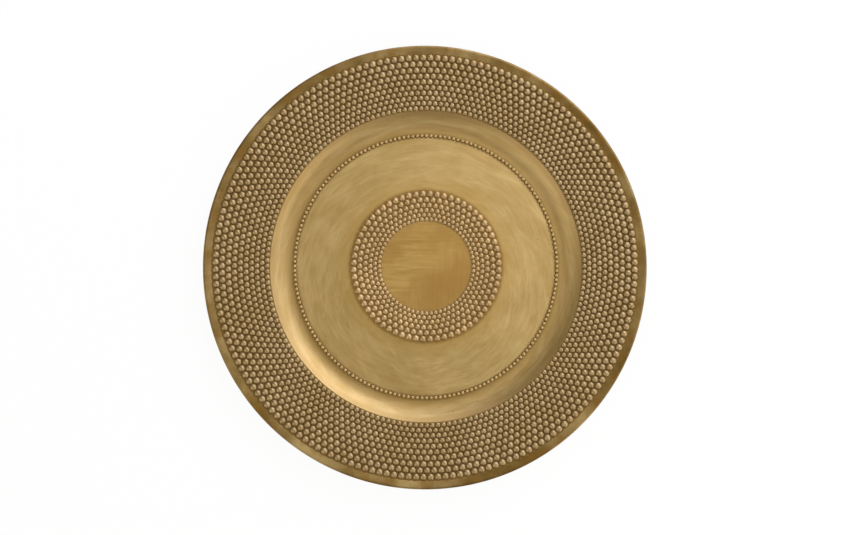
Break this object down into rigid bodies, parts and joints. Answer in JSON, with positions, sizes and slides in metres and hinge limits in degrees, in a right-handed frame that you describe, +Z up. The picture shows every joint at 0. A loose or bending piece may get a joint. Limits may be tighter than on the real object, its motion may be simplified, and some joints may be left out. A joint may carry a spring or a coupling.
{
  "type": "decorative plate",
  "caption": "Round charger plate with a beaded rim, a ring of fine beads around a shallow well, a beaded medallion at its centre, a wired edge and a foot ring on rubber feet.",
  "frame": {"origin": "on the surface that the plate stands on, under the middle of the plate", "axes": "+Z up along the plate's axis; +X to the right and +Y towards the top of the view from above"},
  "size_m": [0.33, 0.33, 0.0168],
  "materials": {
    "spun_brass": "antique gold, brushed in turning strokes",
    "pressed_brass": "antique gold with dark patina between the beads",
    "bead_wire_brass": "antique gold, darkened",
    "steel_wire": "drawn wire",
    "foot_rubber": "matt black rubber"
  },
  "bodies": {
    "root": {"plate_body": "spun_brass", "edge_wire": "steel_wire", "rim_bead_band": "pressed_brass", "well_bead_ring": "bead_wire_brass", "centre_medallion": "pressed_brass", "foot_ring": "spun_brass", "rubber_foot_1": "foot_rubber", "rubber_foot_2": "foot_rubber", "rubber_foot_3": "foot_rubber", "rubber_foot_4": "foot_rubber"}
  },
  "joints": []
}
